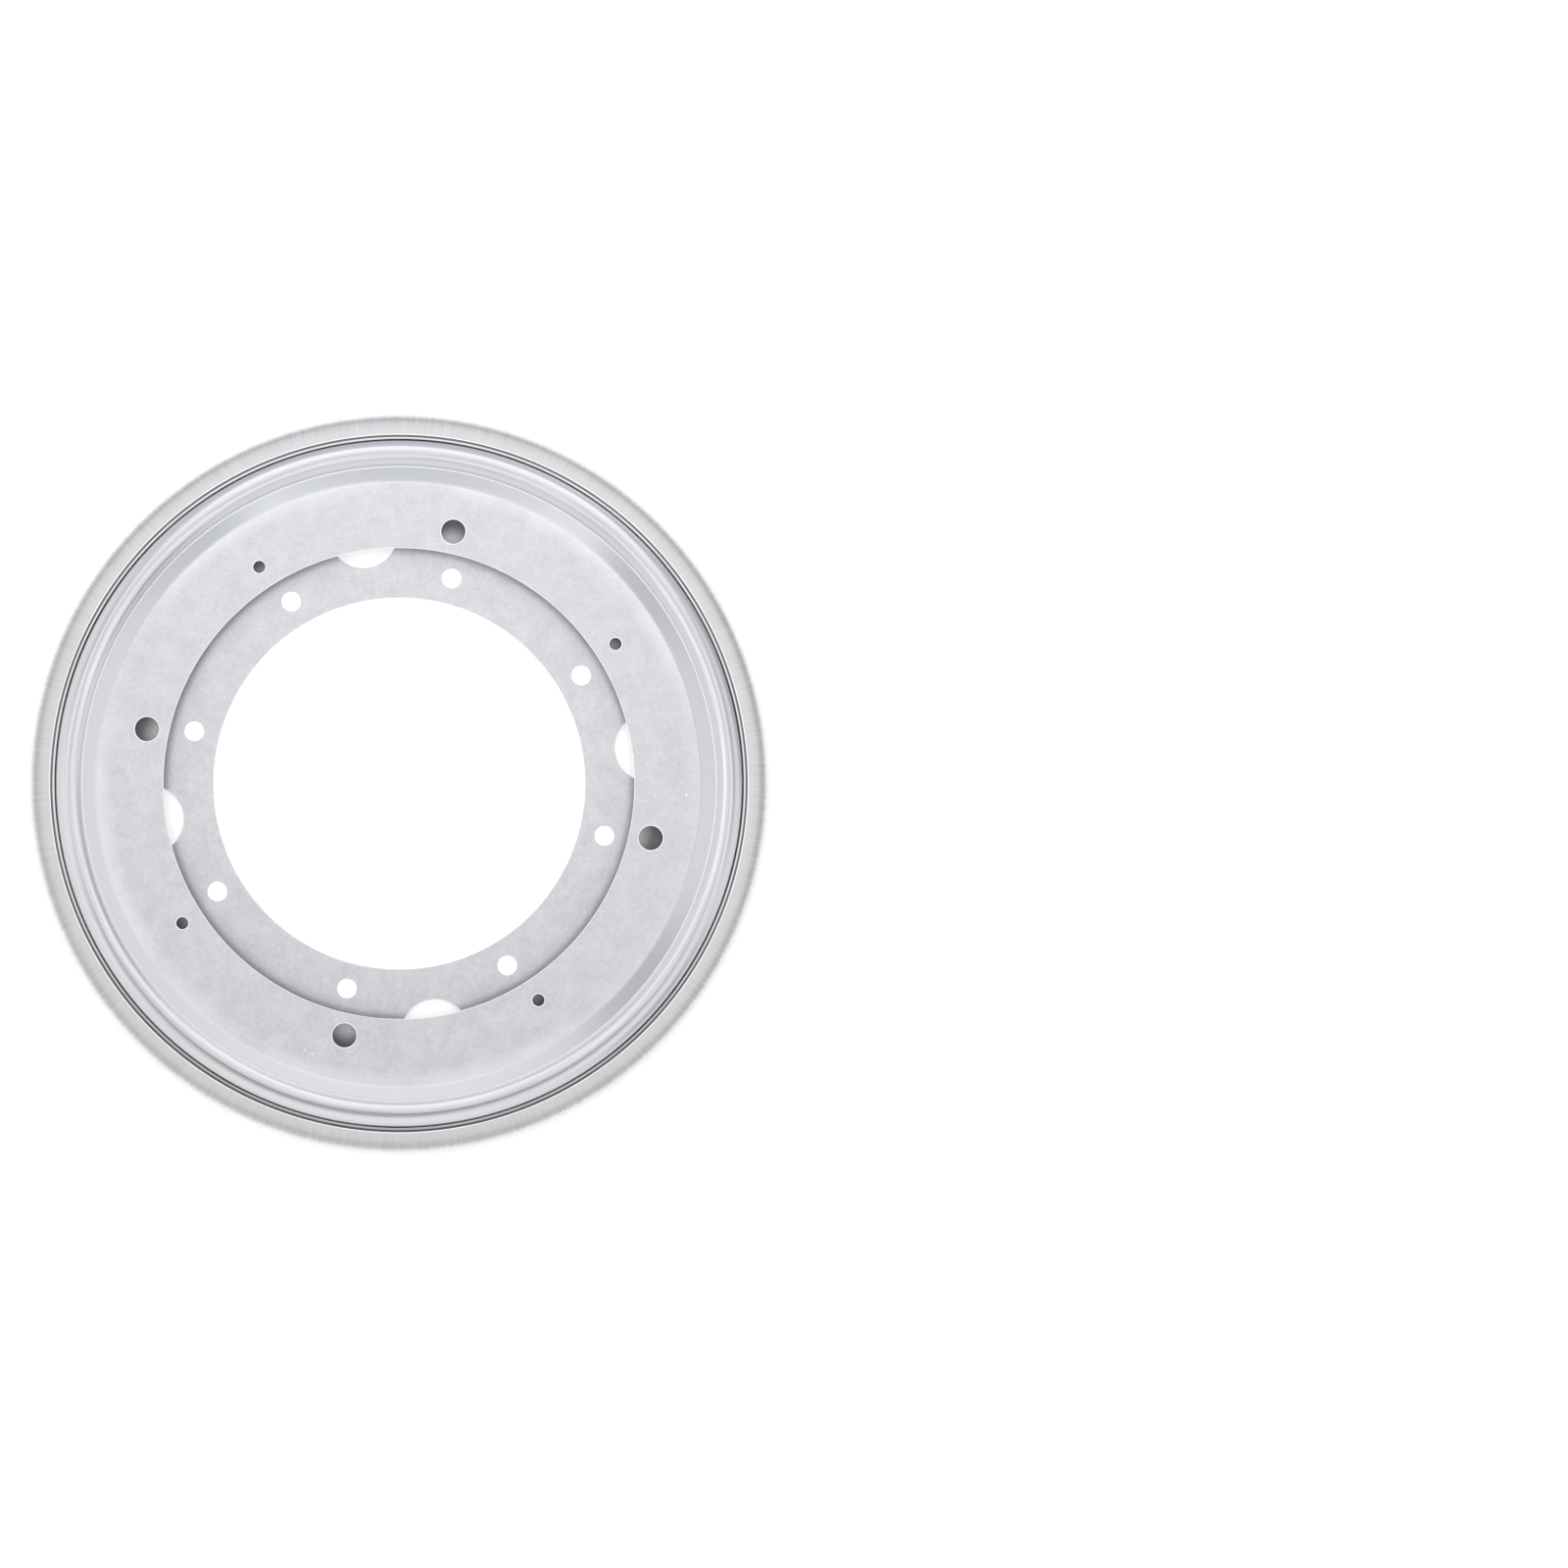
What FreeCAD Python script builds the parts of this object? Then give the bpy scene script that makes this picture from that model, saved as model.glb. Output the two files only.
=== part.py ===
import FreeCAD, Part
import math
import os

# Round turntable bearing: two pressed steel ring plates that turn on a row of loose balls.
# Millimetres. The origin is at the centre of the base face, +Z points out of the top face.

# Sheet and balls
sheet = 0.9                   # thickness of both plates
ball_diameter = 5.56
ball_count = 56
race_play = 0.15              # between a ball and the groove, above it and below it
face_proud = 0.14             # each mounting face beyond the crest of its own groove

# The round section, from the outside inwards
outer_diameter = 304.8
hem_width = 8.0               # the lower plate's rim, from its outermost point in to its lip
lip_gap = 1.45                # from the lip in to the foot of the upper plate's ridge
groove_room = 3.6             # radius of a groove's section beyond the radius of a ball
upper_face_width = 27.3      # the upper plate's flat, from its bend in to its bore
lower_ledge_width = 20.4      # how much of the lower plate shows inside the upper one
slope_angle = 24.0            # from each flat up or down to its groove

# Bends, all inside radii
foot_bend = 0.6
face_bend = 0.8
edge_break = 0.15             # rounding of the sheet's cut edges
arc_turn = 18.0               # a bend is a row of arcs that each turn no more than this

# Where the plates pass each other
plate_gap = 0.6               # between the plates on both sides of the balls
hem_play = 0.4                # from the upper plate's flange up to the lip over it
flange_room = 2.1             # from the flange's edge out to the inside of the hem
hem_rise = 0.4                # the hem's foot above the base face
hem_slope = 7.0               # fall of the hem's top towards its lip
web_slope = 35.0              # from the lower groove's outer ridge down to the hem

# Screw holes, and the holes that let a driver reach the upper plate's screws
upper_screw_diameter = 10.0
upper_pilot_diameter = 5.0
upper_screw_count = 4
upper_screw_inset = 9.2       # from the upper bore out to the hole circle
upper_turn = -12.2            # first screw hole, from +X
lower_screw_diameter = 7.5
lower_screw_inset = 10.6      # from the lower bore out to the hole circle
access_diameter = 27.7
access_shift = 2.1            # access hole circle inside the upper plate's hole circle
lower_turn = 8.2              # first access hole, from +X

# Heights, each at the middle of the sheet unless it says otherwise
half = sheet / 2
mid_height = ball_diameter / 2 + race_play + sheet + face_proud
overall_height = 2 * mid_height
face_height = overall_height - half
crest_height = mid_height + ball_diameter / 2 + race_play + half
shoulder_height = mid_height + plate_gap / 2 + half
lip_height = shoulder_height + sheet + hem_play
hem_foot_height = hem_rise + half

# Radii of the bends at the middle of the sheet
groove_arc = ball_diameter / 2 + groove_room + half
foot_arc = foot_bend + half
face_arc = face_bend + half

# The ridge over the balls is one arc between two foot arcs, tangent to both
flank = math.acos(1 - (crest_height - shoulder_height) / (groove_arc + foot_arc))
ridge_half_width = (groove_arc + foot_arc) * math.sin(flank)

# Radii from the axis
outer_radius = outer_diameter / 2
lip_radius = outer_radius - hem_width
ridge_outer = lip_radius - lip_gap
race_radius = ridge_outer - ridge_half_width
ridge_inner = race_radius - ridge_half_width
flange_radius = outer_radius - sheet - flange_room


def bend_reach(arc, turn):
    """How far a bend's arc starts before its corner."""
    return arc * math.tan(turn / 2)


slope = math.radians(slope_angle)
valley_corner = ridge_inner - bend_reach(foot_arc, slope)
face_corner = valley_corner - (face_height - shoulder_height) / math.tan(slope)
upper_bore_radius = face_corner - upper_face_width
lower_bore_radius = upper_bore_radius - lower_ledge_width
upper_hole_circle = upper_bore_radius + upper_screw_inset
lower_hole_circle = lower_bore_radius + lower_screw_inset
access_circle = upper_hole_circle - access_shift


def ridge_corners():
    """Corners of the sheet's middle line from the bore to the outer foot of the upper ridge."""
    crest_corner = crest_height + groove_arc * (1 / math.cos(flank) - 1)
    foot = ridge_half_width - bend_reach(foot_arc, flank)
    return [
        (face_corner, face_height, face_arc),
        (valley_corner, shoulder_height, foot_arc),
        (race_radius - foot, shoulder_height, foot_arc),
        (race_radius, crest_corner, groove_arc),
        (race_radius + foot, shoulder_height, foot_arc),
    ]


def upper_path():
    """The upper plate's middle line: face, slope, ridge and the flange that runs into the hem."""
    return (
        [(upper_bore_radius, face_height, 0)]
        + ridge_corners()
        + [(flange_radius, shoulder_height, 0)]
    )


def lower_path():
    """The lower plate's middle line: the upper one's mirror, then the web and the rolled hem."""
    mirrored = [(r, overall_height - z, arc) for r, z, arc in ridge_corners()]
    ledge_height = overall_height - shoulder_height
    web = math.radians(web_slope)
    web_top = ridge_outer + bend_reach(foot_arc, web)
    web_foot = web_top + (ledge_height - hem_foot_height) / math.tan(web)
    rim_radius = outer_radius - half
    fall = math.radians(hem_slope)
    rim_top = lip_height + (rim_radius - lip_radius) * math.tan(fall)
    hem_arc = (rim_top - hem_foot_height) / (1 + math.tan(math.pi / 4 + fall / 2))
    return (
        [(lower_bore_radius, half, 0)]
        + mirrored
        + [
            (web_top, ledge_height, foot_arc),
            (web_foot, hem_foot_height, foot_arc),
            (rim_radius, hem_foot_height, hem_arc),
            (rim_radius, rim_top, hem_arc),
            (lip_radius, lip_height, 0),
        ]
    )


def point(r, z):
    return FreeCAD.Vector(r, 0, z)


def line(edges, a, b):
    """Adds a straight edge, unless two arcs meet there and leave it no length."""
    if (b - a).Length > 1e-6:
        edges.append(Part.LineSegment(a, b).toShape())


def bend(edges, centre, spoke, across_in, across_out):
    """Adds one face of a bend as arcs about its centre, from one sideways direction to the other."""
    turn = across_in.getAngle(across_out)
    count = math.ceil(turn / math.radians(arc_turn))

    def spot(share):
        way = across_in * math.sin(turn - share * turn) + across_out * math.sin(share * turn)
        return centre + way * (spoke / math.sin(turn))

    for i in range(count):
        arc = Part.Arc(spot(i / count), spot((i + 0.5) / count), spot((i + 1) / count))
        edges.append(arc.toShape())
    return spot(1)


def side_edges(corners, offset):
    """One face of the sheet: the middle line moved sideways, with an arc at each corner."""
    edges = []
    here = None
    for before, corner, after in zip(corners, corners[1:], corners[2:]):
        at = point(*corner[:2])
        coming = (at - point(*before[:2])).normalize()
        leaving = (point(*after[:2]) - at).normalize()
        turn = coming.getAngle(leaving)
        reach = bend_reach(corner[2], turn)
        across_in = FreeCAD.Vector(-coming.z, 0, coming.x)
        across_out = FreeCAD.Vector(-leaving.z, 0, leaving.x)
        side = 1 if across_in.dot(leaving) > 0 else -1
        centre = at - coming * reach + across_in * (side * corner[2])
        spoke = offset - side * corner[2]
        if here is None:
            here = point(*before[:2]) + across_in * offset + coming * edge_break
        line(edges, here, centre + across_in * spoke)
        here = bend(edges, centre, spoke, across_in, across_out)
    last = point(*corners[-1][:2]) + across_out * offset - leaving * edge_break
    line(edges, here, last)
    return edges


def cut_edge(end, outward):
    """The sheet's cut edge at one end of its section, with its two corners rounded."""
    across = FreeCAD.Vector(-outward.z, 0, outward.x)
    flat = half - edge_break
    edges = [Part.LineSegment(end - across * flat, end + across * flat).toShape()]
    for side in (-1, 1):
        centre = end - outward * edge_break + across * (side * flat)
        middle = centre + (outward + across * side).normalize() * edge_break
        near = centre + across * (side * edge_break)
        edges.append(Part.Arc(centre + outward * edge_break, middle, near).toShape())
    return edges


def ring_plate(corners):
    """A bent sheet of even thickness, spun about the axis."""
    first = point(*corners[0][:2])
    last = point(*corners[-1][:2])
    start = (first - point(*corners[1][:2])).normalize()
    finish = (last - point(*corners[-2][:2])).normalize()
    edges = side_edges(corners, half) + side_edges(corners, -half)
    edges += cut_edge(first, start) + cut_edge(last, finish)
    outline = Part.Wire(Part.__sortEdges__(edges))
    turned = Part.Face(outline).revolve(point(0, 0), FreeCAD.Vector(0, 0, 1), 360)
    return turned if turned.Volume > 0 else turned.reversed()


def holes(count, diameter, circle, first_angle, middle):
    """Round cutters through the sheet, evenly spaced on a circle."""
    cutters = []
    for i in range(count):
        angle = math.radians(first_angle + 360 * i / count)
        foot = FreeCAD.Vector(circle * math.cos(angle), circle * math.sin(angle), middle - sheet)
        cutters.append(Part.makeCylinder(diameter / 2, 2 * sheet, foot))
    return cutters


def upper_plate():
    half_step = 180 / upper_screw_count
    cutters = holes(upper_screw_count, upper_screw_diameter, upper_hole_circle, upper_turn, face_height)
    cutters += holes(
        upper_screw_count, upper_pilot_diameter, upper_hole_circle, upper_turn + half_step, face_height
    )
    return ring_plate(upper_path()).cut(cutters)


def lower_plate():
    screw_count = 2 * upper_screw_count
    half_step = 180 / screw_count
    cutters = holes(
        screw_count, lower_screw_diameter, lower_hole_circle, lower_turn + half_step, half
    )
    cutters += holes(upper_screw_count, access_diameter, access_circle, lower_turn, half)
    return ring_plate(lower_path()).cut(cutters)


def ball(index):
    angle = math.radians(360 * index / ball_count)
    place = FreeCAD.Vector(race_radius * math.cos(angle), race_radius * math.sin(angle), mid_height)
    return Part.makeSphere(ball_diameter / 2, place)


def save(name, shape):
    shape.exportStep(f"parts/{name}.step")


os.makedirs("parts", exist_ok=True)
save("lower_plate", lower_plate())
save("upper_plate", upper_plate())
for index in range(ball_count):
    save(f"ball_{index + 1:02d}", ball(index))
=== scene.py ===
"""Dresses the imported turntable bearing: fine ring plates, zinc and ball steel finishes, stage and camera."""

import math

import bmesh
import bpy
from bpy.props import FloatProperty, FloatVectorProperty, IntProperty, PointerProperty
from mathutils import Matrix, Vector


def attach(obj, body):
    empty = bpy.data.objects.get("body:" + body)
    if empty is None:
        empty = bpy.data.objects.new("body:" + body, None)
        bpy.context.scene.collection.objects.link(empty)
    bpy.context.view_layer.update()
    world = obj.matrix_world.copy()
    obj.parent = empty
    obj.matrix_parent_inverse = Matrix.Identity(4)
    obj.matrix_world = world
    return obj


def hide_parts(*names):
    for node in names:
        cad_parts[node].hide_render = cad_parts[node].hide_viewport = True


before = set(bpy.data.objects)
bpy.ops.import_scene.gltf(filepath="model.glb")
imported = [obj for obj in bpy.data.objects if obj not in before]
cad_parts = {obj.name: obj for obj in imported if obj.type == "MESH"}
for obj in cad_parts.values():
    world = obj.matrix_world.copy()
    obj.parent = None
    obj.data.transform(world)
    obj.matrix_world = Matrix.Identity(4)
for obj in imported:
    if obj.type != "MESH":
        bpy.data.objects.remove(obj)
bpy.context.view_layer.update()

bl_info = {
    "name": "Turntable Bearing",
    "version": (1, 0, 0),
    "blender": (4, 5, 0),
    "location": "3D View > Sidebar > Bearing",
    "description": "Pressed steel turntable bearing with its zinc finish, studio stage and camera",
    "category": "Object",
}

MM = 0.001
LOWER_BODY, UPPER_BODY = "lower_ring", "upper_ring"
LOWER_NODE, UPPER_NODE = "lower_plate", "upper_plate"
BALL_PREFIX = "ball_"
ZINC_SLOT = "zinc_sheet"

# Scuffs on each plate: radius, azimuth, half length along the ring and half width, in millimetres and degrees,
# and the level of the speckle above which they show
UPPER_SCUFFS = ((119.1, -2.3, 1.0, 0.5, 0.30), (118.0, 249.5, 14.0, 2.0, 0.60))
LOWER_SCUFFS = ((83.0, 172.0, 9.0, 1.0, 0.62),)

# Noise in a finish, in cells per metre
CLOUDS, SPECKLE, GRAIN = 110.0, 520.0, 1500.0
BALL_HAZE, FLOOR_MOTTLE = 900.0, 60.0
# Noise that runs round the ring, in cells per radian along it and per metre across it
STREAKS, WEAR, PATCHES, DRAG = (300.0, 45.0), (5.0, 0.0), (1.6, 0.0), (3.0, 2200.0)
# Fine relief of the coating and of the rim's streaks
COATING_DEPTH, STREAK_DEPTH = 0.02 * MM, 0.08 * MM
# Width of the painted highlight round each punched hole
HOLE_HIGHLIGHT_WIDTH = 0.3 * MM

# The camera's distance in metres and its sensor in millimetres, and the stretch of floor in the photograph
CAMERA_DISTANCE, SENSOR_WIDTH = 6.0, 36.0
FRAME_WIDTH, FRAME_CENTRE = 649.8 * MM, (159.4 * MM, -0.2 * MM)

# The floor's radius, its drop below the base, and its glow as the camera and as metal sees it
FLOOR_RADIUS, FLOOR_DROP = 20.0, 0.2 * MM
FLOOR_GLOW, FLOOR_IN_METAL = 0.06, 0.70

# Soft lamps: name, azimuth, off vertical, distance and side
STUDIO_LAMPS = (
    ("key", 320, 24, 1.5, 0.7),
    ("fill", 195, 27, 1.6, 0.8),
    ("top", 86, 23, 0.4, 0.5),
)

# Paler and darker parts of the studio: azimuth, off vertical, core and edge half-angles, level
STUDIO_PATCHES = (
    (0, 0, 20, 44, (0.46, 0.46, 0.46)),
    (262, 40, 12, 28, (1.1, 1.1, 1.1)),
    (103, 60, 22, 42, (0.71, 0.73, 0.78)),
    (47, 52, 4, 20, (0.64, 0.64, 0.66)),
    (20, 78, 14, 27, (0.54, 0.54, 0.56)),
    (320, 56, 4, 16, (0.48, 0.48, 0.50)),
)


def length(name, description, millimetres):
    """A size in metres whose default is given in millimetres."""
    return FloatProperty(
        name=name, description=description, default=millimetres * MM, unit="LENGTH", min=0, precision=5
    )


def turn(name, description, degrees):
    """An angle whose default is given in degrees."""
    return FloatProperty(name=name, description=description, default=math.radians(degrees), subtype="ANGLE")


def tint(name, description, value):
    """A linear colour."""
    return FloatVectorProperty(
        name=name, description=description, default=value, size=3, min=0, max=1, subtype="COLOR"
    )


def level(name, description, value):
    """A level of light."""
    return FloatProperty(name=name, description=description, default=value, min=0)


class BearingSizes(bpy.types.PropertyGroup):
    """The bearing's section, from the outside inwards, and its holes."""

    outer_diameter: length("Outer diameter", "Over the rolled rim", 304.8)
    sheet: length("Sheet", "Thickness of both plates", 0.9)
    ball: length("Ball diameter", "Balls in the race", 5.56)
    race_play: length("Race play", "Between a ball and each groove", 0.15)
    face_proud: length("Face proud", "Each mounting face beyond its groove's crest", 0.14)
    hem_width: length("Rim width", "Rolled rim from its outermost point to its lip", 8.0)
    lip_gap: length("Lip gap", "From the lip in to the foot of the upper ridge", 1.45)
    groove_room: length("Groove room", "Radius of a groove beyond the radius of a ball", 3.6)
    upper_face: length("Upper face", "Width of the upper plate's flat", 27.3)
    lower_ledge: length("Lower ledge", "Width of the lower plate seen inside the upper", 20.4)
    slope: turn("Slope", "From each flat to its groove", 24.0)
    foot_bend: length("Foot bend", "Inside radius at the feet of the ridge", 0.6)
    face_bend: length("Face bend", "Inside radius at the edge of each flat", 0.8)
    edge_break: length("Edge break", "Rounding of the sheet's cut edges", 0.15)
    plate_gap: length("Plate gap", "Between the plates beside the balls", 0.6)
    hem_play: length("Rim play", "From the upper flange up to the lip", 0.4)
    flange_room: length("Flange room", "From the flange's edge out to the rim", 2.1)
    hem_rise: length("Rim rise", "Foot of the rim above the base face", 0.4)
    hem_slope: turn("Rim slope", "Fall of the rim's top to its lip", 7.0)
    web_slope: turn("Web slope", "From the lower ridge down to the rim", 35.0)
    screw_hole: length("Upper screw hole", "Diameter", 10.0)
    pilot_hole: length("Upper pilot hole", "Diameter", 5.0)
    screw_inset: length("Upper inset", "From the upper bore to the hole circle", 9.2)
    base_hole: length("Base screw hole", "Diameter", 7.5)
    base_inset: length("Base inset", "From the lower bore to the hole circle", 10.6)
    access_hole: length("Access hole", "Diameter", 27.7)
    access_shift: length("Access shift", "Access circle inside the upper hole circle", 2.1)
    screws: IntProperty(name="Upper screws", description="Screw holes in the upper plate", default=4, min=2)
    upper_turn: turn("Upper turn", "First upper screw hole from +X", -12.2)
    lower_turn: turn("Lower turn", "First access hole from +X", 8.2)
    steps_round: IntProperty(name="Steps round", description="Facets round each plate", default=432, min=64)
    bend_step: turn("Bend step", "Largest turn of one facet in a bend", 6.0)


class BearingColours(bpy.types.PropertyGroup):
    """Metal colours, as reflectance."""

    zinc: tint("Zinc", "Zinc-coated sheet", (0.578, 0.576, 0.604))
    zinc_pale: tint("Zinc, pale", "Lighter grain in the coating", (0.705, 0.702, 0.730))
    rim: tint("Rim", "Sheet stretched round the rolled rim", (0.46, 0.46, 0.468))
    rim_top: tint("Rim top", "Sheet on the rolled rim's top", (0.60, 0.60, 0.608))
    # Painted shade: darkens the narrow gaps at the ridge's outer foot, under the lip and inside the rim.
    gap_shade: tint("Film", "Grease film in the narrow gaps", (0.16, 0.16, 0.165))
    # Painted shade: the lower plate darkened along the upper bore's edge and under the upper plate.
    painted_under_shade: tint("Covered", "Oily face below the upper plate", (0.20, 0.20, 0.205))
    burnish: tint("Burnished", "Sheet drawn smooth beside the ridge", (0.690, 0.688, 0.714))
    # Painted shade: darkens the crest in fine lines to tone down its highlight.
    crest: tint("Crest", "Sheet drawn smooth over the ridge", (0.44, 0.44, 0.455))
    # Real scuffs, and also the painted highlights on the upper bore, the lip, the holes' rims and the face's
    # bend.
    scuff_and_highlight: tint("Scuff", "Bright scuffs and nicks", (0.93, 0.93, 0.94))
    ball: tint("Ball", "Polished ball steel", (0.62, 0.62, 0.63))
    floor: tint("Floor", "Studio floor", (0.96, 0.96, 0.96))


class StudioLight(bpy.types.PropertyGroup):
    """Levels of the soft studio light."""

    surround: level("Surround", "Level of the pale studio all round", 1.0)
    key: level("Key", "Power of the soft lamp at lower right, in watts", 0.85)
    fill: level("Fill", "Power of the soft lamp at the left, in watts", 1.05)
    top: level("Top", "Power of the near lamp over the upper edge, in watts", 0.60)


def sizes():
    return bpy.context.scene.bearing_sizes


def colours():
    return bpy.context.scene.bearing_colours


def light():
    return bpy.context.scene.bearing_light


class Section:
    """The two plates' middle lines, worked out from the driving sizes. All in metres."""

    def __init__(self, s):
        self.sheet = s.sheet
        half = s.sheet / 2
        mid = s.ball / 2 + s.race_play + s.sheet + s.face_proud
        self.height = 2 * mid
        self.face = self.height - half
        self.crest = mid + s.ball / 2 + s.race_play + half
        self.shoulder = mid + s.plate_gap / 2 + half
        self.groove_arc = s.ball / 2 + s.groove_room + half
        self.foot_arc = s.foot_bend + half
        self.face_arc = s.face_bend + half
        self.flank = math.acos(1 - (self.crest - self.shoulder) / (self.groove_arc + self.foot_arc))
        self.ridge_half = (self.groove_arc + self.foot_arc) * math.sin(self.flank)
        self.outer = s.outer_diameter / 2
        self.lip = self.outer - s.hem_width
        self.ridge_outer = self.lip - s.lip_gap
        self.race = self.ridge_outer - self.ridge_half
        self.ridge_inner = self.race - self.ridge_half
        self.flange = self.outer - s.sheet - s.flange_room
        self.valley = self.ridge_inner - reach(self.foot_arc, s.slope)
        self.face_end = self.valley - (self.face - self.shoulder) / math.tan(s.slope)
        self.upper_bore = self.face_end - s.upper_face
        self.lower_bore = self.upper_bore - s.lower_ledge
        self.upper_circle = self.upper_bore + s.screw_inset
        self.base_circle = self.lower_bore + s.base_inset
        self.access_circle = self.upper_circle - s.access_shift
        self.lip_height = self.shoulder + s.sheet + s.hem_play
        self.hem_foot = s.hem_rise + half
        self.hem_slope = s.hem_slope
        self.web_slope = s.web_slope

    def ridge(self):
        """Corners from the bore to the outer foot of the upper ridge, each with its bend."""
        crest = self.crest + self.groove_arc * (1 / math.cos(self.flank) - 1)
        foot = self.ridge_half - reach(self.foot_arc, self.flank)
        return [
            (self.face_end, self.face, self.face_arc),
            (self.valley, self.shoulder, self.foot_arc),
            (self.race - foot, self.shoulder, self.foot_arc),
            (self.race, crest, self.groove_arc),
            (self.race + foot, self.shoulder, self.foot_arc),
        ]

    def upper(self):
        return [(self.upper_bore, self.face, 0)] + self.ridge() + [(self.flange, self.shoulder, 0)]

    def lower(self):
        mirrored = [(r, self.height - z, arc) for r, z, arc in self.ridge()]
        ledge = self.height - self.shoulder
        web_top = self.ridge_outer + reach(self.foot_arc, self.web_slope)
        web_foot = web_top + (ledge - self.hem_foot) / math.tan(self.web_slope)
        rim = self.outer - self.sheet / 2
        rim_top = self.lip_height + (rim - self.lip) * math.tan(self.hem_slope)
        hem_arc = (rim_top - self.hem_foot) / (1 + math.tan(math.pi / 4 + self.hem_slope / 2))
        tail = [
            (web_top, ledge, self.foot_arc),
            (web_foot, self.hem_foot, self.foot_arc),
            (rim, self.hem_foot, hem_arc),
            (rim, rim_top, hem_arc),
            (self.lip, self.lip_height, 0),
        ]
        return [(self.lower_bore, self.sheet / 2, 0)] + mirrored + tail


def reach(arc, angle):
    """How far a bend starts before its corner."""
    return arc * math.tan(angle / 2)


def left_of(direction):
    return Vector((-direction.y, direction.x))


def sheet_side(corners, offset, edge, step):
    """One face of a bent sheet as (point, normal) pairs, from start to end. Step is a bend's largest facet."""
    made = []
    sense = 1 if offset > 0 else -1
    for before, corner, after in zip(corners, corners[1:], corners[2:]):
        at = Vector(corner[:2])
        coming = (at - Vector(before[:2])).normalized()
        leaving = (Vector(after[:2]) - at).normalized()
        angle = coming.angle_signed(leaving) * -1
        centre = at - coming * reach(corner[2], abs(angle)) + left_of(coming) * math.copysign(corner[2], angle)
        spoke = offset - math.copysign(corner[2], angle)
        if not made:
            start = Vector(before[:2]) + left_of(coming) * offset + coming * edge
            made.append((start, left_of(coming) * sense))
        count = max(1, math.ceil(abs(angle) / step))
        for i in range(count + 1):
            a = angle * i / count
            normal = Matrix.Rotation(a, 2) @ left_of(coming)
            where = centre + normal * spoke
            if (where - made[-1][0]).length > edge / 100:
                made.append((where, normal * sense))
    last = Vector(corners[-1][:2]) + left_of(leaving) * offset - leaving * edge
    made.append((last, left_of(leaving) * sense))
    return made


def cut_edge(end, outward, thickness, edge, steps=4):
    """The sheet's cut edge with rounded corners, as (point, normal) pairs from its left face to its right."""
    across = left_of(outward)
    made = []
    for side, start, turns in ((1, 90, range(1, steps + 1)), (-1, 0, range(steps))):
        centre = end - outward * edge + across * side * (thickness / 2 - edge)
        for i in turns:
            a = math.radians(start - 90 * i / steps)
            normal = outward * math.cos(a) + across * math.sin(a)
            made.append((centre + normal * edge, normal))
    return made


class PlateMesh:
    """A ring plate's vertices, faces and exact normals, built ring by ring."""

    def __init__(self, steps):
        self.bm = bmesh.new()
        self.normals = []
        self.steps = steps

    def vert(self, co, normal):
        self.normals.append(normal)
        return self.bm.verts.new(co)

    def loop(self, centre, radius, z, outward, upward, steps):
        """A circle of vertices with one normal each."""
        made = []
        for i in range(steps):
            a = 2 * math.pi * i / steps
            c, s = math.cos(a), math.sin(a)
            co = (centre[0] + radius * c, centre[1] + radius * s, z)
            made.append(self.vert(co, (outward * c, outward * s, upward)))
        return made

    def ring(self, point, normal):
        return self.loop((0, 0), point.x, point.y, normal.x, normal.y, self.steps)

    def strip(self, first, second):
        """Quads between two circles with as many vertices each."""
        n = len(first)
        for i in range(n):
            j = (i + 1) % n
            self.bm.faces.new((first[i], first[j], second[j], second[i]))

    def lathe(self, profile):
        rings = [self.ring(p, n) for p, n in profile]
        for a, b in zip(rings, rings[1:]):
            self.strip(a, b)
        return rings[0], rings[-1]

    def fill(self, loops, up):
        """A flat face between an outer circle, an inner one and the holes."""
        edges = []
        for loop in loops:
            for a, b in zip(loop, loop[1:] + loop[:1]):
                edges.append(self.bm.edges.get((a, b)) or self.bm.edges.new((a, b)))
        made = bmesh.ops.triangle_fill(
            self.bm, use_beauty=True, use_dissolve=False, edges=edges, normal=(0, 0, up)
        )
        for face in made["geom"]:
            if isinstance(face, bmesh.types.BMFace):
                face.normal_update()
                if face.normal.z * up < 0:
                    face.normal_flip()

    def hole(self, centre, radius, low, high, edge, steps=64, round_steps=4):
        """A punched hole's wall with rounded rims. Gives its loops on the lower and the upper face."""
        loops = []
        for z, sign in ((low, -1), (high, 1)):
            corner = []
            for i in range(round_steps + 1):
                a = math.pi / 2 * i / round_steps
                r = radius + edge * (1 - math.sin(a))
                height = z - sign * edge * (1 - math.cos(a))
                corner.append(self.loop(centre, r, height, -math.sin(a), sign * math.cos(a), steps))
            loops.append(corner if sign < 0 else corner[::-1])
        rings = loops[0] + loops[1]
        for a, b in zip(rings, rings[1:]):
            self.strip(b, a)
        return rings[0], rings[-1]

    def finish(self, name):
        mesh = bpy.data.meshes.new(name)
        bmesh.ops.recalc_face_normals(self.bm, faces=self.bm.faces)
        self.bm.to_mesh(mesh)
        self.bm.free()
        mesh.shade_smooth()
        mesh.normals_split_custom_set_from_vertices(self.normals)
        piece = bpy.data.objects.new(name, mesh)
        bpy.context.scene.collection.objects.link(piece)
        return piece


def hole_circle(circle, first_angle, count, radius):
    """(centre, radius) of round holes evenly spaced on a circle."""
    made = []
    for i in range(count):
        a = first_angle + 2 * math.pi * i / count
        made.append(((circle * math.cos(a), circle * math.sin(a)), radius))
    return made


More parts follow.
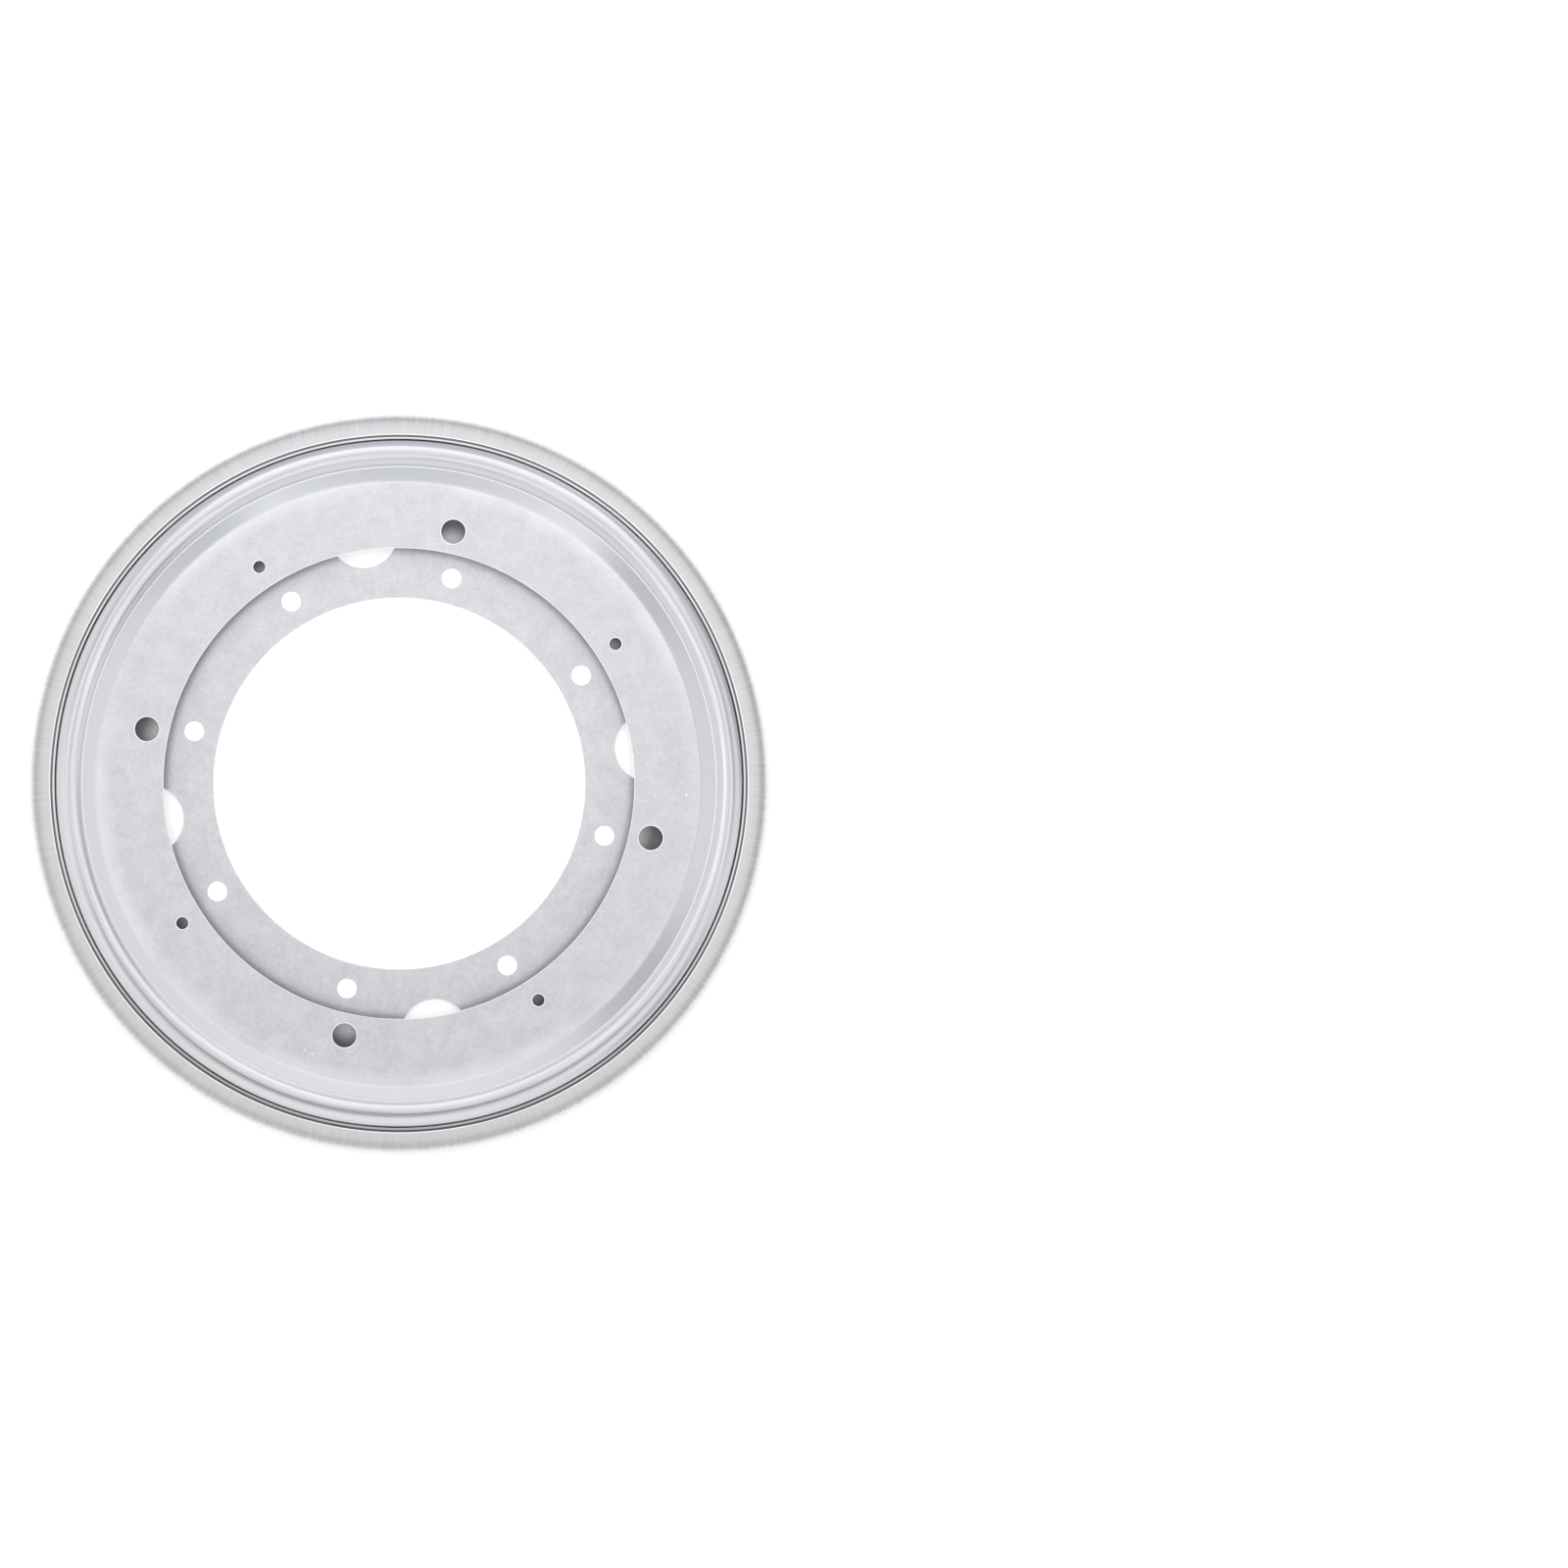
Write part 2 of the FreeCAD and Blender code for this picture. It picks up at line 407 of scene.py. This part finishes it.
def build_plate(name, corners, holes, s):
    """A pressed ring plate: flats filled round their holes, everything else turned about the axis."""
    left = sheet_side(corners, s.sheet / 2, s.edge_break, s.bend_step)
    right = sheet_side(corners, -s.sheet / 2, s.edge_break, s.bend_step)
    first, second = Vector(corners[0][:2]), Vector(corners[1][:2])
    last, previous = Vector(corners[-1][:2]), Vector(corners[-2][:2])
    bore = cut_edge(first, (first - second).normalized(), s.sheet, s.edge_break)
    tip = cut_edge(last, (last - previous).normalized(), s.sheet, s.edge_break)
    plate = PlateMesh(s.steps_round)
    top_out, under_out = plate.lathe(left[1:] + tip + right[:0:-1])
    under_in, top_in = plate.lathe([right[0]] + bore + [left[0]])
    low, high = right[0][0].y, left[0][0].y
    lower_loops, upper_loops = [], []
    for centre, radius in holes:
        under, top = plate.hole(centre, radius, low, high, s.edge_break)
        lower_loops.append(under)
        upper_loops.append(top)
    plate.fill([top_out, top_in] + upper_loops, 1)
    plate.fill([under_out, under_in] + lower_loops, -1)
    return plate.finish(name)


class Wiring:
    """A node tree under construction. Inputs are sockets or plain numbers."""

    def __init__(self, tree):
        self.tree = tree

    def node(self, kind, **settings):
        made = self.tree.nodes.new(kind)
        for key, value in settings.items():
            setattr(made, key, value)
        return made

    def give(self, target, item):
        if isinstance(item, bpy.types.NodeSocket):
            self.tree.links.new(item, target)
        else:
            target.default_value = item

    def value(self, operation, *inputs):
        made = self.node("ShaderNodeMath", operation=operation)
        for target, item in zip(made.inputs, inputs):
            self.give(target, item)
        return made.outputs[0]

    def vector(self, operation, *inputs, output="Vector"):
        made = self.node("ShaderNodeVectorMath", operation=operation)
        for target, item in zip(made.inputs, inputs):
            self.give(target, item)
        return made.outputs[output]

    def noise(self, where, scale, detail=3.0, roughness=0.55):
        made = self.node("ShaderNodeTexNoise")
        self.give(made.inputs["Vector"], where)
        made.inputs["Scale"].default_value = scale
        made.inputs["Detail"].default_value = detail
        made.inputs["Roughness"].default_value = roughness
        return made.outputs["Fac"]

    def span(self, source, from_low, from_high, to_low=0.0, to_high=1.0):
        """A smooth step from one value to another."""
        made = self.node("ShaderNodeMapRange", interpolation_type="SMOOTHSTEP")
        names = ("Value", "From Min", "From Max", "To Min", "To Max")
        for name, item in zip(names, (source, from_low, from_high, to_low, to_high)):
            self.give(made.inputs[name], item)
        return made.outputs["Result"]

    def between(self, source, rise, fall, high=1.0):
        """High between two values. Rise and fall each give where the slope is at 0 and where it is full."""
        return self.value("MULTIPLY", self.span(source, *rise, 0.0, high), self.span(source, *fall))

    def near(self, source, middle, fade, solid, high=1.0):
        """High within solid of a middle value, and 0 from fade outwards."""
        away = self.value("ABSOLUTE", self.value("SUBTRACT", source, middle))
        return self.span(away, fade, solid, 0.0, high)

    def blend(self, factor, first, second):
        """A colour between two, each a socket or a colour."""
        made = self.node("ShaderNodeMix", data_type="RGBA")
        self.give(made.inputs["Factor"], factor)
        ends = [i for i in made.inputs if i.type == "RGBA"]
        for target, item in zip(ends, (first, second)):
            self.give(target, item if isinstance(item, bpy.types.NodeSocket) else (*item, 1))
        return [o for o in made.outputs if o.type == "RGBA"][0]


class Paint(Wiring):
    """A material on one shader, placed by the piece's own coordinates."""

    def __init__(self, name, metallic, roughness):
        self.material = bpy.data.materials.new(name)
        self.material.use_nodes = True
        super().__init__(self.material.node_tree)
        self.shader = self.tree.nodes["Principled BSDF"]
        self.shader.inputs["Metallic"].default_value = metallic
        self.shader.inputs["Roughness"].default_value = roughness
        self.place = self.node("ShaderNodeTexCoord").outputs["Object"]

    def set(self, name, item):
        self.give(self.shader.inputs[name], item)

    def flat_place(self):
        return self.vector("MULTIPLY", self.place, (1, 1, 0))

    def radius(self):
        """Distance from the bearing's axis, in metres."""
        return self.vector("LENGTH", self.flat_place(), output="Value")

    def height(self):
        parts = self.node("ShaderNodeSeparateXYZ")
        self.give(parts.inputs[0], self.place)
        return parts.outputs["Z"]

    def round_place(self, along, across):
        """Noise space that runs round the ring: along counts cells per radian, across per metre of radius."""
        unit = self.vector("SCALE", self.vector("NORMALIZE", self.flat_place()))
        unit.node.inputs["Scale"].default_value = along
        parts = self.node("ShaderNodeSeparateXYZ")
        self.give(parts.inputs[0], unit)
        whole = self.node("ShaderNodeCombineXYZ")
        self.give(whole.inputs["X"], parts.outputs["X"])
        self.give(whole.inputs["Y"], parts.outputs["Y"])
        self.give(whole.inputs["Z"], self.value("MULTIPLY", self.radius(), across))
        return whole.outputs["Vector"]

    def punched(self, circle, first_angle, count, hole_radius, width):
        """1 on a thin ring round each hole of a circle of holes."""
        parts = self.node("ShaderNodeSeparateXYZ")
        self.give(parts.inputs[0], self.place)
        azimuth = self.value("ARCTAN2", parts.outputs["Y"], parts.outputs["X"])
        half_pitch = math.pi / count
        aside = self.value("WRAP", self.value("SUBTRACT", azimuth, first_angle), half_pitch, -half_pitch)
        radius = self.radius()
        outward = self.value("SUBTRACT", self.value("MULTIPLY", radius, self.value("COSINE", aside)), circle)
        across = self.value("MULTIPLY", radius, self.value("SINE", aside))
        squares = self.value("MULTIPLY_ADD", outward, outward, self.value("MULTIPLY", across, across))
        return self.near(self.value("SQRT", squares), hole_radius + width / 2, width, width / 2)

    def spot(self, radius, azimuth, half_length, half_width):
        """1 inside an ellipse that lies along the ring at a radius and azimuth, fading to 0 at its edge."""
        turned = self.node("ShaderNodeMapping", vector_type="TEXTURE")
        a = math.radians(azimuth)
        self.give(turned.inputs["Vector"], self.flat_place())
        turned.inputs["Location"].default_value = (radius * math.cos(a), radius * math.sin(a), 0)
        turned.inputs["Rotation"].default_value = (0, 0, a)
        turned.inputs["Scale"].default_value = (half_width, half_length, 1)
        return self.span(self.vector("LENGTH", turned.outputs["Vector"], output="Value"), 1.0, 0.4)

    def bump(self, height, strength, distance, normal=None):
        made = self.node("ShaderNodeBump")
        made.inputs["Strength"].default_value = strength
        made.inputs["Distance"].default_value = distance
        self.give(made.inputs["Height"], height)
        if normal:
            self.give(made.inputs["Normal"], normal)
        return made.outputs["Normal"]


class ZincFinish(Paint):
    """Zinc-coated sheet: grainy on the flats, smoother where the ridge was drawn, streaked round the rim.

    Each step lays its colour over the last one. Scuffs and punched are one plate's scuffs and circles of holes,
    each circle as (circle, first angle, count, hole radius).
    """

    def __init__(self, name, section, c, scuffs, punched):
        super().__init__(name, 1.0, 0.4)
        self.section, self.c = section, c
        self.out, self.up = self.radius(), self.height()
        self.grain = self.noise(self.place, GRAIN, 2.0, 0.6)
        self.speckle = self.noise(self.place, SPECKLE, 3.0, 0.7)
        self.streaks = self.noise(self.round_place(*STREAKS), 1.0, 4.0, 0.65)
        self.patchy = self.noise(self.round_place(*PATCHES), 1.0, 2.0)
        self.drag = self.noise(self.round_place(*DRAG), 1.0, 2.0, 0.5)
        self.drawn = self.span(self.out, section.face_end - 1 * MM, section.face_end + 1.5 * MM)
        self.rim = self.span(self.out, section.lip - 0.6 * MM, section.lip + 0.2 * MM)
        self.colour = self.coating()
        self.lay(self.drawn, self.ridge_colour())
        self.lay(self.rim, self.rim_colour())
        self.lay(self.scuffed(scuffs), c.scuff_and_highlight)
        # Painted shade in the gaps at the ridge's foot, under the lip and inside the rim
        self.lay(self.shaded_gaps(), c.gap_shade)
        # Painted shade on the lower plate under the upper plate and along the upper bore's edge
        self.lay(self.painted_under_shade(), c.painted_under_shade)
        # Painted highlights on the cut edges, the lip and the face's bend
        self.lay(self.painted_edge_highlight(punched), c.scuff_and_highlight)
        self.set("Base Color", self.colour)
        self.set("Roughness", self.rough())
        self.set("Normal", self.relief())

    def lay(self, mask, colour):
        self.colour = self.blend(mask, self.colour, colour)

    def coating(self):
        clouds = self.noise(self.place, CLOUDS, 4.0, 0.65)
        pale = self.value("MULTIPLY_ADD", self.speckle, 0.35, self.value("MULTIPLY", clouds, 0.30))
        pale = self.value("MULTIPLY_ADD", self.grain, 0.35, pale)
        return self.blend(self.span(pale, 0.36, 0.64), self.c.zinc, self.c.zinc_pale)

    def ridge_colour(self):
        """Painted shade in fine lines along the crest, which tones down its highlight."""
        crest = self.near(self.out, self.section.race - 1.3 * MM, 3.0 * MM, 0.8 * MM, 0.85)
        crest = self.value("MULTIPLY", crest, self.span(self.drag, 0.36, 0.60, 1.0, 0.55))
        return self.blend(crest, self.c.burnish, self.c.crest)

    def rim_colour(self):
        """Darker down the side of the rolled rim, with pale streaks across it."""
        rolling = self.span(self.out, self.section.lip + 1.5 * MM, self.section.outer - 1 * MM)
        colour = self.blend(rolling, self.c.rim_top, self.c.rim)
        return self.blend(self.span(self.streaks, 0.36, 0.66, 0.0, 0.4), colour, self.c.zinc_pale)

    def scuffed(self, scuffs):
        found = None
        for radius, azimuth, half_length, half_width, low in scuffs:
            bits = self.span(self.speckle, low, low + 0.08)
            place = self.spot(radius * MM, azimuth, half_length * MM, half_width * MM)
            mark = self.value("MULTIPLY", place, bits)
            found = self.value("MAXIMUM", found, mark) if found else mark
        return found

    def shaded_gaps(self):
        """Painted shade along the ridge's outer foot, in patches, and all through the inside of the rim."""
        s = self.section
        foot = self.near(self.out, s.ridge_outer - 0.42 * MM, 0.48 * MM, 0.16 * MM)
        foot = self.value("MULTIPLY", foot, self.span(self.patchy, 0.38, 0.62, 0.15, 0.75))
        shade_under_lip = self.between(
            self.out, (s.lip - 1.1 * MM, s.lip - 0.75 * MM), (s.lip + 3.2 * MM, s.lip + 2.8 * MM)
        )
        shade_in_rim = self.between(
            self.up, (s.lip_height + 0.1 * MM, s.lip_height), (s.hem_foot - 0.1 * MM, s.hem_foot + 0.1 * MM)
        )
        return self.value("MAXIMUM", foot, self.value("MULTIPLY", shade_under_lip, shade_in_rim))

    def painted_under_shade(self):
        """Painted shade on the lower plate: a shadow band along the edge of the upper bore, and shade under the
        upper plate reaching in patches inwards from the race.
        """
        bore, face_end, middle = self.section.upper_bore, self.section.face_end, self.section.height / 2
        bore_shadow = self.between(
            self.out, (bore - 3.5 * MM, bore + 0.5 * MM), (bore + 4 * MM, bore + 1.5 * MM), 0.5
        )
        inward_shade = self.value("MULTIPLY_ADD", self.patchy, 8 * MM, self.out)
        inward_shade = self.value(
            "MULTIPLY",
            self.span(inward_shade, bore + 8 * MM, bore + 16 * MM),
            self.span(self.out, face_end, face_end - 2 * MM),
        )
        inside = self.between(self.up, (0.4 * MM, 0.6 * MM), (middle + 0.2 * MM, middle))
        return self.value("MULTIPLY", self.value("MAXIMUM", bore_shadow, inward_shade), inside)

    def painted_edge_highlight(self, punched):
        """Painted highlights on the upper bore's edge, the lip and the punched holes' rims, and a patchy
        painted highlight along the face's bend.
        """
        s = self.section
        bore = self.span(self.out, s.upper_bore + 0.35 * MM, s.upper_bore + 0.15 * MM)
        bore = self.value("MULTIPLY", bore, self.span(self.up, s.face, s.face + 0.2 * MM))
        lip = self.near(self.out, s.lip + 0.20 * MM, 0.30 * MM, 0.12 * MM)
        lip = self.value("MULTIPLY", lip, self.span(self.up, s.lip_height, s.lip_height + 0.2 * MM))
        found = self.value("MAXIMUM", bore, lip)
        for holes in punched:
            found = self.value("MAXIMUM", found, self.punched(*holes, HOLE_HIGHLIGHT_WIDTH))
        # Painted highlight along the face's bend, in patches
        bend = self.between(
            self.out,
            (s.face_end - 7 * MM, s.face_end - 0.5 * MM),
            (s.face_end + 1.7 * MM, s.face_end + 0.7 * MM),
        )
        bend = self.value("MULTIPLY", bend, self.span(self.patchy, 0.60, 0.40, 0.08, 0.30))
        return self.value("MAXIMUM", found, bend)

    def rough(self):
        """Smoother on the drawn ridge, rougher on the stretched rim."""
        found = self.span(self.speckle, 0.3, 0.7, 0.55, 0.60)
        found = self.value("MULTIPLY_ADD", self.drawn, self.value("SUBTRACT", 0.24, found), found)
        return self.value("MULTIPLY_ADD", self.rim, 0.30, found)

    def relief(self):
        """Pits in the coating, fine lines on the drawn ridge and streaks across the rim."""
        pits = self.value("MULTIPLY", self.grain, self.value("MULTIPLY_ADD", self.drawn, -0.8, 1.0))
        normal = self.bump(pits, 0.12, COATING_DEPTH)
        lines = self.value("MULTIPLY", self.drag, self.drawn)
        normal = self.bump(lines, 0.10, COATING_DEPTH, normal)
        worn = self.span(self.noise(self.round_place(*WEAR), 1.0, 2.0, 0.5), 0.40, 0.62, 0.25, 1.0)
        strokes = self.value("MULTIPLY", self.value("MULTIPLY", self.streaks, worn), self.rim)
        return self.bump(strokes, 0.5, STREAK_DEPTH, normal)


def ball_finish(name, c):
    """Polished ball steel with faint rolling marks."""
    paint = Paint(name, 1.0, 0.12)
    haze = paint.noise(paint.place, BALL_HAZE, 3.0, 0.6)
    paint.set("Base Color", paint.blend(haze, c.ball, [x * 0.9 for x in c.ball]))
    paint.set("Roughness", paint.span(haze, 0.3, 0.7, 0.08, 0.18))
    return paint.material


def dress(piece, material, body, slot, *nodes):
    """Gives a piece its finish, ties it to the body and hides the solids it stands for."""
    piece.data.materials.append(material)
    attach(piece, body)
    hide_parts(*nodes)


class BEARING_OT_lower_plate(bpy.types.Operator):
    """Build the lower plate with its rolled rim, base holes and access holes"""

    bl_idname = "bearing.lower_plate"
    bl_label = "Lower Plate"

    def execute(self, context):
        s = sizes()
        section = Section(s)
        count = 2 * s.screws
        base = (section.base_circle, s.lower_turn + math.pi / count, count, s.base_hole / 2)
        access = (section.access_circle, s.lower_turn, s.screws, s.access_hole / 2)
        piece = build_plate("lower_ring_plate", section.lower(), hole_circle(*base) + hole_circle(*access), s)
        finish = ZincFinish("zinc_lower", section, colours(), LOWER_SCUFFS, (base, access))
        dress(piece, finish.material, LOWER_BODY, ZINC_SLOT, LOWER_NODE)
        return {"FINISHED"}


class BEARING_OT_upper_plate(bpy.types.Operator):
    """Build the upper plate with its ridge, screw holes and pilot holes"""

    bl_idname = "bearing.upper_plate"
    bl_label = "Upper Plate"

    def execute(self, context):
        s = sizes()
        section = Section(s)
        screw = (section.upper_circle, s.upper_turn, s.screws, s.screw_hole / 2)
        pilot = (section.upper_circle, s.upper_turn + math.pi / s.screws, s.screws, s.pilot_hole / 2)
        piece = build_plate("upper_ring_plate", section.upper(), hole_circle(*screw) + hole_circle(*pilot), s)
        finish = ZincFinish("zinc_upper", section, colours(), UPPER_SCUFFS, (screw, pilot))
        dress(piece, finish.material, UPPER_BODY, ZINC_SLOT, UPPER_NODE)
        return {"FINISHED"}


class BEARING_OT_balls(bpy.types.Operator):
    """Finish the balls in polished steel"""

    bl_idname = "bearing.balls"
    bl_label = "Balls"

    def execute(self, context):
        material = ball_finish("ball_steel", colours())
        for name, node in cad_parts.items():
            if name.startswith(BALL_PREFIX):
                for slot in node.material_slots:
                    slot.material = material
        return {"FINISHED"}


class BEARING_OT_camera(bpy.types.Operator):
    """Set the camera straight above, framed as in the photograph"""

    bl_idname = "bearing.camera"
    bl_label = "Camera"

    def execute(self, context):
        data = bpy.data.cameras.new("camera")
        data.sensor_width = SENSOR_WIDTH
        data.lens = SENSOR_WIDTH * CAMERA_DISTANCE / FRAME_WIDTH
        data.clip_end = 50.0
        camera = bpy.data.objects.new("camera", data)
        camera.location = (*FRAME_CENTRE, CAMERA_DISTANCE)
        context.scene.collection.objects.link(camera)
        context.scene.camera = camera
        return {"FINISHED"}


def soft_lamp(name, azimuth, off_vertical, distance, size, power):
    """A square area lamp that looks at the bearing."""
    data = bpy.data.lights.new(name, "AREA")
    data.shape = "SQUARE"
    data.size = size
    data.energy = power
    lamp = bpy.data.objects.new(name, data)
    way = direction(azimuth, off_vertical)
    lamp.location = way * distance
    lamp.rotation_euler = way.to_track_quat("Z", "Y").to_euler()
    bpy.context.scene.collection.objects.link(lamp)


def direction(azimuth, off_vertical):
    a, e = math.radians(azimuth), math.radians(off_vertical)
    return Vector((math.cos(a) * math.sin(e), math.sin(a) * math.sin(e), math.cos(e)))


class BEARING_OT_stage(bpy.types.Operator):
    """Lay the pale floor and light it softly"""

    bl_idname = "bearing.stage"
    bl_label = "Stage"

    def execute(self, context):
        self.floor()
        self.world(context)
        for name, *place in STUDIO_LAMPS:
            soft_lamp(name, *place, getattr(light(), name))
        return {"FINISHED"}

    def floor(self):
        bm = bmesh.new()
        bmesh.ops.create_circle(bm, cap_ends=True, radius=FLOOR_RADIUS, segments=96)
        mesh = bpy.data.meshes.new("floor")
        bm.to_mesh(mesh)
        bm.free()
        floor = bpy.data.objects.new("floor", mesh)
        floor.location.z = -FLOOR_DROP
        bpy.context.scene.collection.objects.link(floor)
        paint = Paint("floor_paper", 0.0, 0.9)
        mottle = paint.noise(paint.place, FLOOR_MOTTLE, 3.0, 0.5)
        c = colours().floor
        paint.set("Base Color", paint.blend(mottle, c, [x * 0.985 for x in c]))
        paint.shader.inputs["Specular IOR Level"].default_value = 0.1
        paint.shader.inputs["Emission Color"].default_value = (1, 1, 1, 1)
        path = paint.node("ShaderNodeLightPath").outputs
        seen = paint.value("ADD", path["Is Camera Ray"], path["Is Transmission Ray"])
        seen = paint.value("MULTIPLY", seen, FLOOR_GLOW)
        paint.set("Emission Strength", paint.value("MULTIPLY_ADD", path["Is Glossy Ray"], FLOOR_IN_METAL, seen))
        mesh.materials.append(paint.material)

    def world(self, context):
        """A pale studio with darker patches, white to the camera."""
        world = bpy.data.worlds.new("studio")
        context.scene.world = world
        world.use_nodes = True
        sky = Wiring(world.node_tree)
        way = sky.node("ShaderNodeTexCoord").outputs["Generated"]
        colour = (light().surround,) * 3
        for azimuth, off_vertical, core, edge, dim in STUDIO_PATCHES:
            facing = sky.vector("DOT_PRODUCT", way, direction(azimuth, off_vertical), output="Value")
            near = sky.span(facing, math.cos(math.radians(edge)), math.cos(math.radians(core)))
            colour = sky.blend(near, colour, dim)
        path = sky.node("ShaderNodeLightPath")
        plain = sky.value("MAXIMUM", path.outputs["Is Camera Ray"], path.outputs["Is Diffuse Ray"])
        sky.give(sky.tree.nodes["Background"].inputs["Color"], sky.blend(plain, colour, (1, 1, 1)))


class BEARING_PT_panel(bpy.types.Panel):
    """The bearing's pieces, in the order they are made"""

    bl_label = "Turntable Bearing"
    bl_idname = "BEARING_PT_panel"
    bl_space_type = "VIEW_3D"
    bl_region_type = "UI"
    bl_category = "Bearing"

    def draw(self, context):
        for step in STEPS:
            self.layout.operator(step.bl_idname)


STEPS = (
    BEARING_OT_camera,
    BEARING_OT_lower_plate,
    BEARING_OT_upper_plate,
    BEARING_OT_balls,
    BEARING_OT_stage,
)
CLASSES = (BearingSizes, BearingColours, StudioLight, *STEPS, BEARING_PT_panel)


def register():
    for item in CLASSES:
        bpy.utils.register_class(item)
    bpy.types.Scene.bearing_sizes = PointerProperty(type=BearingSizes)
    bpy.types.Scene.bearing_colours = PointerProperty(type=BearingColours)
    bpy.types.Scene.bearing_light = PointerProperty(type=StudioLight)


def unregister():
    del bpy.types.Scene.bearing_light
    del bpy.types.Scene.bearing_colours
    del bpy.types.Scene.bearing_sizes
    for item in reversed(CLASSES):
        bpy.utils.unregister_class(item)


def main():
    register()
    context = bpy.context
    context.scene.view_settings.view_transform = "Standard"
    bpy.ops.bearing.camera()
    bpy.ops.bearing.lower_plate()
    bpy.ops.bearing.upper_plate()
    bpy.ops.bearing.balls()
    bpy.ops.bearing.stage()


if __name__ == "__main__":
    main()
